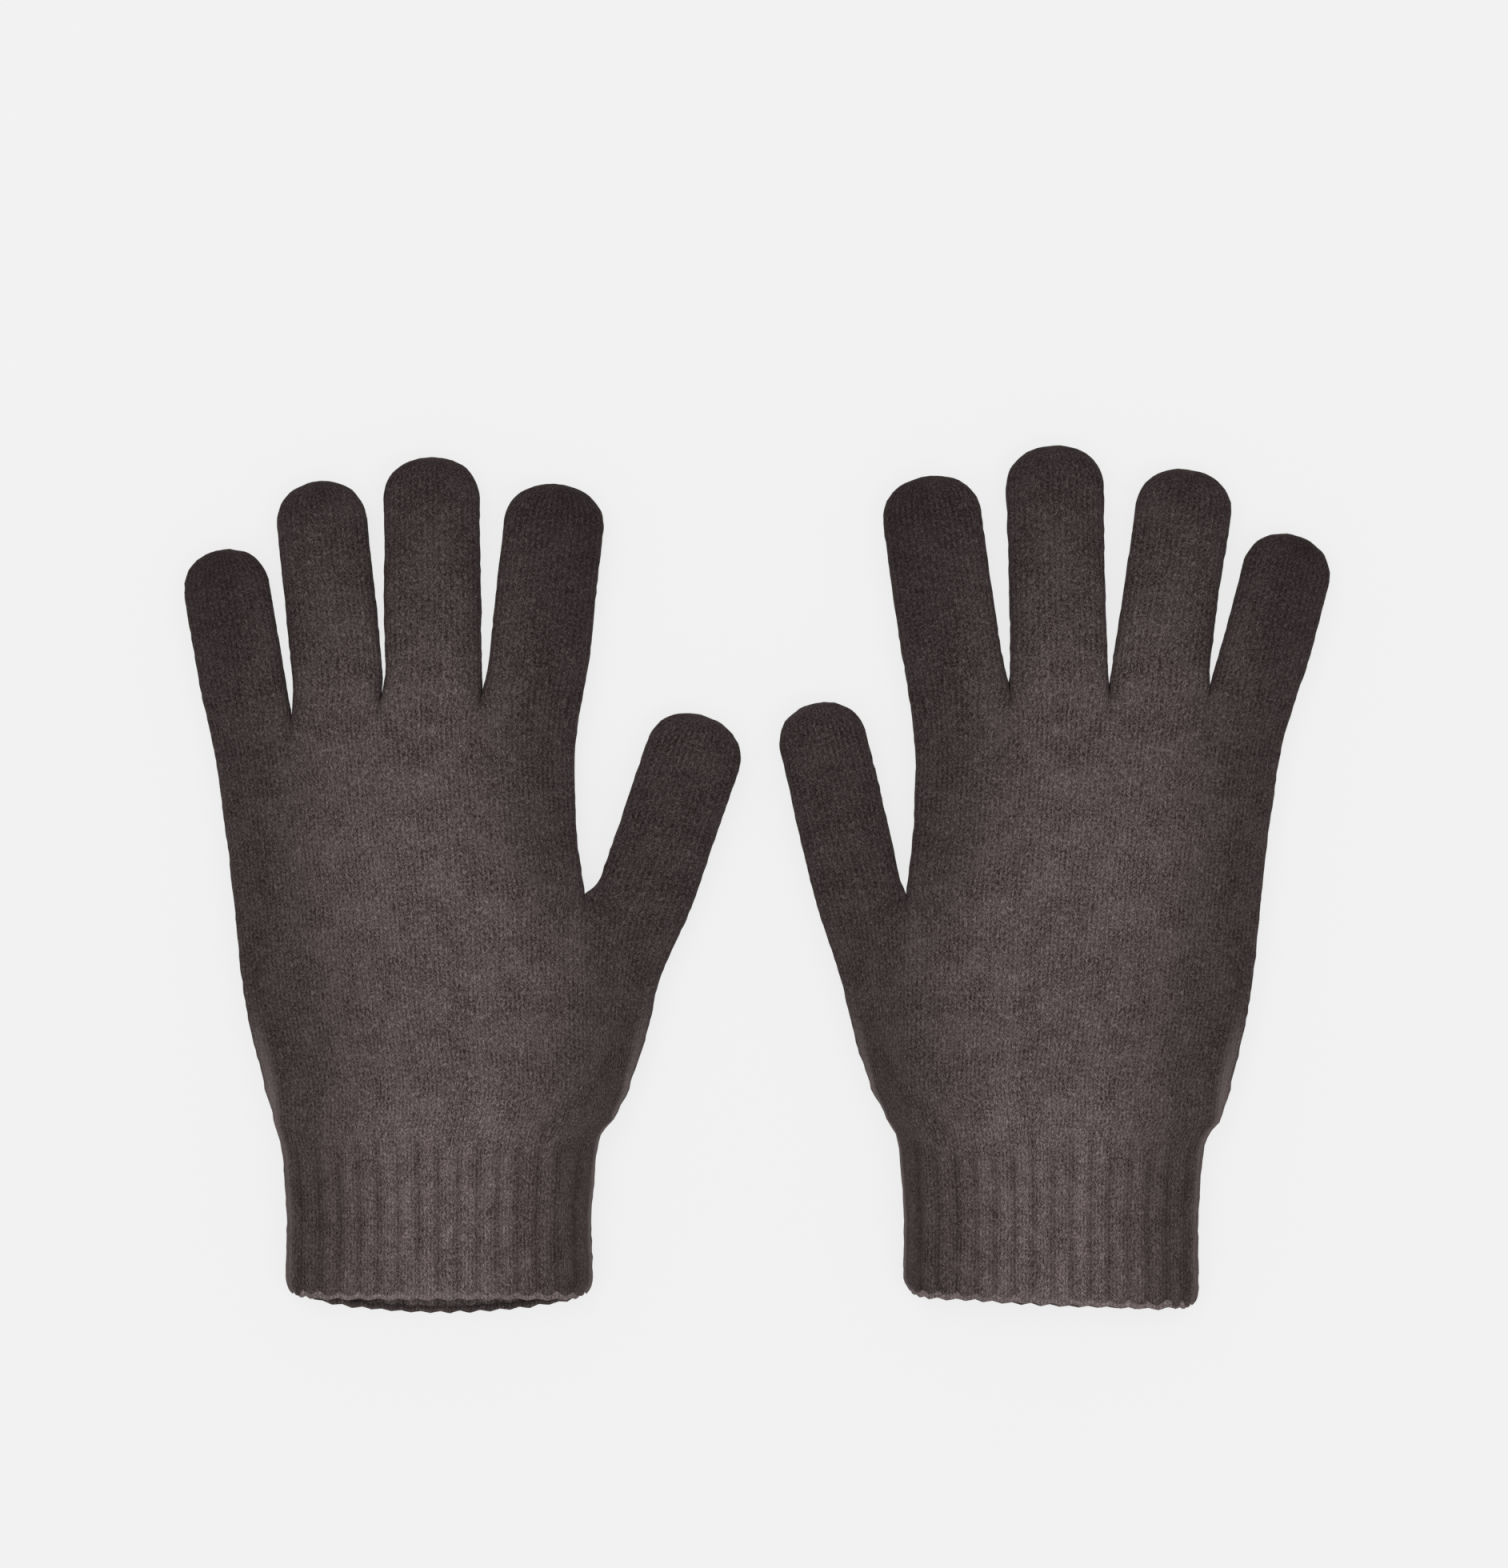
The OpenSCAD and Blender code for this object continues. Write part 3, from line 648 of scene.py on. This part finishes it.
def colourMix(tree, factor, a, b, blend="MIX"):
    node = tree.nodes.new("ShaderNodeMix")
    node.data_type = "RGBA"
    node.blend_type = blend
    for key, value in (("Factor", factor), ("A", a), ("B", b)):
        socket = next(s for s in node.inputs if s.name == key and s.enabled and (
            s.type == ("VALUE" if key == "Factor" else "RGBA")))
        if isinstance(value, (int, float)):
            socket.default_value = value
        elif isinstance(value, tuple):
            socket.default_value = value
        else:
            tree.links.new(value, socket)
    return next(s for s in node.outputs if s.type == "RGBA")


# short fibres lying at a few angles over the fabric, from a stretched noise
def fibreLayer(tree, vector, angle, across, along, low, high):
    turn = tree.nodes.new("ShaderNodeMapping")
    turn.vector_type = "TEXTURE"
    turn.inputs["Rotation"].default_value = (0, 0, math.radians(angle))
    turn.inputs["Scale"].default_value = (across, along, 1)
    tree.links.new(vector, turn.inputs["Vector"])
    grain = tree.nodes.new("ShaderNodeTexNoise")
    grain.inputs["Scale"].default_value = 1.0
    grain.inputs["Detail"].default_value = 1.5
    grain.inputs["Roughness"].default_value = 0.6
    tree.links.new(turn.outputs["Vector"], grain.inputs["Vector"])
    return remap(tree, grain.outputs["Fac"], low, high)


def makeHeather():
    group, given, out = newGroup("heatherYarn", [
        ("NodeSocketVector", "Fabric", None), ("NodeSocketColor", "Dark", (0.03, 0.025, 0.022, 1)),
        ("NodeSocketColor", "Light", (0.16, 0.14, 0.13, 1)), ("NodeSocketFloat", "Tone", 0.5),
        ("NodeSocketFloat", "Furrow", 0.0), ("NodeSocketFloat", "Rim", 0.0)],
        [("NodeSocketColor", "Colour"), ("NodeSocketFloat", "Height")])
    fabric = given.outputs["Fabric"]
    # a slow warp so that the fibres don't line up
    warpNoise = group.nodes.new("ShaderNodeTexNoise")
    warpNoise.inputs["Scale"].default_value = 0.45
    warpNoise.inputs["Detail"].default_value = 1.0
    group.links.new(fabric, warpNoise.inputs["Vector"])
    scaled = group.nodes.new("ShaderNodeVectorMath")
    scaled.operation = "SCALE"
    scaled.inputs["Scale"].default_value = 1.6
    group.links.new(warpNoise.outputs["Color"], scaled.inputs[0])
    warped = group.nodes.new("ShaderNodeVectorMath")
    warped.operation = "ADD"
    group.links.new(fabric, warped.inputs[0])
    group.links.new(scaled.outputs[0], warped.inputs[1])
    vector = warped.outputs[0]
    layers = [fibreLayer(group, vector, a, w, l, lo, hi) for a, w, l, lo, hi in (
        (4, 0.27, 1.1, 0.52, 0.68), (38, 0.24, 1.0, 0.55, 0.70), (-42, 0.24, 1.0, 0.55, 0.70),
        (85, 0.26, 0.8, 0.57, 0.72))]
    fibres = layers[0]
    for layer in layers[1:]:
        fibres = math2(group, "MAXIMUM", fibres, layer)
    # wale lines and the slanted legs of the stitches
    split = group.nodes.new("ShaderNodeSeparateXYZ")
    group.links.new(fabric, split.inputs[0])
    wale = math2(group, "FRACT", math2(group, "MULTIPLY", split.outputs["X"], 1 / (knit["stitch"] * 1000)))
    fromMiddle = math2(group, "ABSOLUTE", math2(group, "SUBTRACT", wale, 0.5))
    course = math2(group, "ADD", math2(group, "MULTIPLY", split.outputs["Y"], 0.95),
                   math2(group, "MULTIPLY", fromMiddle, 1.3))
    leg = math2(group, "SINE", math2(group, "MULTIPLY", course, 6.2832))
    waleLight = math2(group, "COSINE", math2(group, "MULTIPLY", math2(group, "MULTIPLY",
                      split.outputs["X"], 1 / (knit["stitch"] * 1000)), 6.2832))
    patches = group.nodes.new("ShaderNodeTexNoise")
    patches.inputs["Scale"].default_value = 0.11
    patches.inputs["Detail"].default_value = 4.0
    group.links.new(fabric, patches.inputs["Vector"])
    base = math2(group, "ADD", math2(group, "MULTIPLY", fibres, 0.62), 0.11)
    base = math2(group, "ADD", base, math2(group, "MULTIPLY", leg, 0.035))
    base = math2(group, "ADD", base, math2(group, "MULTIPLY", waleLight, 0.060))
    base = math2(group, "ADD", base, remap(group, patches.outputs["Fac"], 0.3, 0.7, -0.05, 0.07))
    # painted light and shade: the colour is lightened by the painted rim light, darkened by the painted
    # shade in the furrows, and scaled down where painted shade falls
    paintedShadingShare = math2(group, "ADD", math2(group, "MULTIPLY", given.outputs["Tone"], 0.60), 0.40)
    amount = math2(group, "MULTIPLY", base, paintedShadingShare)
    amount = math2(group, "ADD", amount, math2(group, "MULTIPLY", given.outputs["Rim"], 0.45))
    amount = math2(group, "MULTIPLY", amount, math2(group, "SUBTRACT", 1.0,
                   math2(group, "MULTIPLY", given.outputs["Furrow"], 0.36)), True)
    colour = colourMix(group, amount, given.outputs["Dark"], given.outputs["Light"])
    paintedShadingScale = math2(group, "ADD", math2(group, "MULTIPLY", given.outputs["Tone"], 0.62), 0.38)
    colour = colourMix(group, 1.0, colour, paintedShadingScale, "MULTIPLY")
    group.links.new(colour, out.inputs["Colour"])
    height = math2(group, "ADD", math2(group, "MULTIPLY", fibres, 0.6),
                   math2(group, "ADD", math2(group, "MULTIPLY", leg, 0.22),
                         math2(group, "MULTIPLY", waleLight, 0.3)))
    group.links.new(height, out.inputs["Height"])
    return group


heather = makeHeather()


def knitMaterial(name, dark, light, sheen=0.06):
    mat = bpy.data.materials.new(name)
    mat.use_nodes = True
    tree = mat.node_tree
    body = tree.nodes["Principled BSDF"]
    body.inputs["Roughness"].default_value = 0.95
    body.inputs["Specular IOR Level"].default_value = 0.06
    body.inputs["Sheen Weight"].default_value = sheen
    body.inputs["Sheen Roughness"].default_value = 0.55
    body.inputs["Sheen Tint"].default_value = (0.62, 0.52, 0.46, 1)
    uv = tree.nodes.new("ShaderNodeUVMap")
    uv.uv_map = "fabric"
    yarn = tree.nodes.new("ShaderNodeGroup")
    yarn.node_tree = heather
    yarn.inputs["Dark"].default_value = dark
    yarn.inputs["Light"].default_value = light
    tree.links.new(uv.outputs["UV"], yarn.inputs["Fabric"])
    # the painted light and shade of the points feed the yarn's colour
    for key, label in (("tone", "Tone"), ("furrow", "Furrow"), ("rim", "Rim")):
        read = tree.nodes.new("ShaderNodeAttribute")
        read.attribute_name = key
        tree.links.new(read.outputs["Fac"], yarn.inputs[label])
    bump = tree.nodes.new("ShaderNodeBump")
    bump.inputs["Strength"].default_value = 0.55
    bump.inputs["Distance"].default_value = 0.0003
    tree.links.new(yarn.outputs["Height"], bump.inputs["Height"])
    tree.links.new(yarn.outputs["Colour"], body.inputs["Base Color"])
    tree.links.new(bump.outputs["Normal"], body.inputs["Normal"])
    return mat


plainKnit = knitMaterial("plainKnit", (0.025, 0.0135, 0.0145, 1), (0.290, 0.232, 0.232, 1))
ribKnit = knitMaterial("ribKnit", (0.025, 0.0135, 0.0145, 1), (0.290, 0.232, 0.232, 1))
# painted highlight: the rolled edge gets a lighter copy of the knit's colours
edgeKnit = knitMaterial("edgeKnit", (0.034, 0.023, 0.023, 1), (0.37, 0.30, 0.295, 1))

print("stage: materials")


def dress(ob, mat):
    ob.data.materials.clear()
    ob.data.materials.append(mat)


# the rolled edge follows the last row of the cuff all the way round
def rimBead(g):
    radius = cuffShape["bead"]
    loop = np.concatenate([g.ends[True], g.ends[False][::-1][1:-1]])
    count = len(loop)
    ahead, behind = np.roll(loop, -1, 0), np.roll(loop, 1, 0)
    way = ahead - behind
    out = np.stack([-way[:, 2], np.zeros(count), way[:, 0]], 1)
    out /= np.linalg.norm(out, axis=1)[:, None]
    if np.mean(out[: count // 2, 2]) < 0:
        out = -out
    around = 14
    angles = np.linspace(0, 2 * math.pi, around + 1)
    wobble = np.array([noise.noise(Vector(p) * 260) for p in loop])
    size = radius * (1 + 0.22 * wobble)
    centre = loop - out * (radius * 0.95) + np.array([0, -0.0002, 0])
    away = np.abs(loop[:, 0] - loop[:, 0].mean()) / (np.ptp(loop[:, 0]) / 2)
    centre[:, 1] += 0.0008 * smooth((away - 0.80) / 0.20)
    ring = centre[None] + np.cos(angles)[:, None, None] * out[None] * size[None, :, None]
    ring[:, :, 1] += np.sin(angles)[:, None] * size[None]
    ring = np.concatenate([ring, ring[:, :1]], 1)
    u = np.arange(count + 1)[None].repeat(around + 1, 0) / knit["steps"] * knit["stitch"] * 1000
    v = (angles * radius * 1000)[:, None].repeat(count + 1, 1)
    none = np.zeros_like(u)
    # painted light: the upper side of the rolled edge is painted lighter and its underside darker
    paintedTopLight = smooth((loop[:, 2] / (2 * g.cuffHalf) - 0.2) / 0.6)
    paintedTopLight = np.append(paintedTopLight, paintedTopLight[0])[None].repeat(around + 1, 0)
    layers = {"u": u, "v": v, "tone": 0.45 + 0.60 * paintedTopLight, "rim": 0.16 * paintedTopLight, "furrow": none,
              "relief": none, "pieceId": none}
    ring[:, :, 0] = g.mid + g.turn * ring[:, :, 0]
    ring[:, :, 2] = np.maximum(ring[:, :, 2], 0.0001)
    ob = clothGrid(g.side + "_cuff_edge_knit", ring, layers)
    bpy.ops.object.mode_set(mode="EDIT")
    bpy.ops.mesh.select_all(action="SELECT")
    bpy.ops.mesh.remove_doubles(threshold=3e-6)
    bpy.ops.mesh.normals_make_consistent(inside=False)
    bpy.ops.object.mode_set(mode="OBJECT")
    bpy.ops.object.shade_smooth()
    for key in ("relief", "pieceId"):
        ob.data.attributes.remove(ob.data.attributes[key])
    return ob


# every piece of one glove gets its material and hides the cad part it stands for; the hand, the rolled edge
# and the elastic threads are also attached to a body
def finishGlove(side, turn):
    g, pieces = makeGlove(side, turn)
    handBody = side + "_hand"
    hand = pieces["hand"]
    dress(hand, plainKnit)
    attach(hand, handBody)
    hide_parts(side + "_palm")
    cuff = pieces["cuff"]
    dress(cuff, ribKnit)
    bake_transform(cuff)
    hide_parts(side + "_cuff")
    edge = rimBead(g)
    dress(edge, edgeKnit)
    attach(edge, side + "_cuff")
    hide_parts(side + "_cuff_edge")
    for f in g.fingers:
        base, tip = pieces[f.name + "_base"], pieces[f.name + "_tip"]
        dress(base, plainKnit)
        dress(tip, plainKnit)
        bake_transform(base)
        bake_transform(tip)
        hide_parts(f"{side}_{f.name}_base")
        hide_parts(f"{side}_{f.name}_tip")
    # elastic threads keep the cad shape, welded and smoothed
    source = frame["nodes"][side + "_cuff_elastic"]
    elastic = source.copy()
    elastic.data = source.data.copy()
    elastic.name = side + "_elastic_threads"
    elastic.parent = None
    for key in list(elastic.keys()):
        del elastic[key]
    scene.collection.objects.link(elastic)
    deselect()
    elastic.select_set(True)
    bpy.context.view_layer.objects.active = elastic
    bpy.ops.object.mode_set(mode="EDIT")
    bpy.ops.mesh.select_all(action="SELECT")
    bpy.ops.mesh.remove_doubles(threshold=1e-6)
    bpy.ops.object.mode_set(mode="OBJECT")
    bpy.ops.object.shade_smooth()
    dress(elastic, rubber)
    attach(elastic, side + "_cuff")
    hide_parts(side + "_cuff_elastic")


rubber = bpy.data.materials.new("coveredElastic")
rubber.use_nodes = True
rubberTree = rubber.node_tree
rubberBody = rubberTree.nodes["Principled BSDF"]
rubberBody.inputs["Roughness"].default_value = 0.8
place = rubberTree.nodes.new("ShaderNodeTexCoord")
winding = rubberTree.nodes.new("ShaderNodeTexNoise")
winding.inputs["Scale"].default_value = 1800
rubberTree.links.new(place.outputs["Object"], winding.inputs["Vector"])
shade = colourMix(rubberTree, winding.outputs["Fac"], (0.012, 0.010, 0.010, 1), (0.05, 0.045, 0.042, 1))
rubberTree.links.new(shade, rubberBody.inputs["Base Color"])

for side, turn in (("left", 1), ("right", -1)):
    finishGlove(side, turn)
    print("stage: finished the", side, "glove")

# floor, light and camera
bpy.ops.mesh.primitive_plane_add(size=6, location=(0, 0, -0.0002))
floor = bpy.context.object
floor.name = "floor"
floorMat = bpy.data.materials.new("paleFloor")
floorMat.use_nodes = True
floorBody = floorMat.node_tree.nodes["Principled BSDF"]
floorBody.inputs["Base Color"].default_value = (0.12, 0.12, 0.12, 1)
floorBody.inputs["Roughness"].default_value = 1.0
floorBody.inputs["Specular IOR Level"].default_value = 0.0
floorBody.inputs["Emission Color"].default_value = (1, 1, 1, 1)
floorBody.inputs["Emission Strength"].default_value = 0.773
floor.data.materials.append(floorMat)

world = bpy.data.worlds.new("studio")
scene.world = world
world.use_nodes = True
world.node_tree.nodes["Background"].inputs["Color"].default_value = (1, 1, 1, 1)
world.node_tree.nodes["Background"].inputs["Strength"].default_value = 0.75


def softLight(name, place, size, power):
    bpy.ops.object.light_add(type="AREA", location=place)
    lamp = bpy.context.object
    lamp.name = name
    lamp.data.size = size
    lamp.data.energy = power
    lamp.rotation_euler = (Vector((0, 0, 0)) - Vector(place)).to_track_quat("-Z", "Y").to_euler()
    return lamp


softLight("keyLight", (-0.5, 0.5, 1.6), 0.9, 5)
softLight("fillLight", (0.7, -0.5, 1.5), 0.9, 2.5)

cameraData = bpy.data.cameras.new("camera")
cameraData.lens = 110
cameraData.sensor_width = 36
camera = bpy.data.objects.new("camera", cameraData)
scene.collection.objects.link(camera)
viewWidth = 0.4571
reach = viewWidth / cameraData.sensor_width * cameraData.lens
camera.location = (-0.0008, 0.0281, reach + 0.0070)
scene.camera = camera
cameraData.clip_start = 0.05
cameraData.clip_end = 20
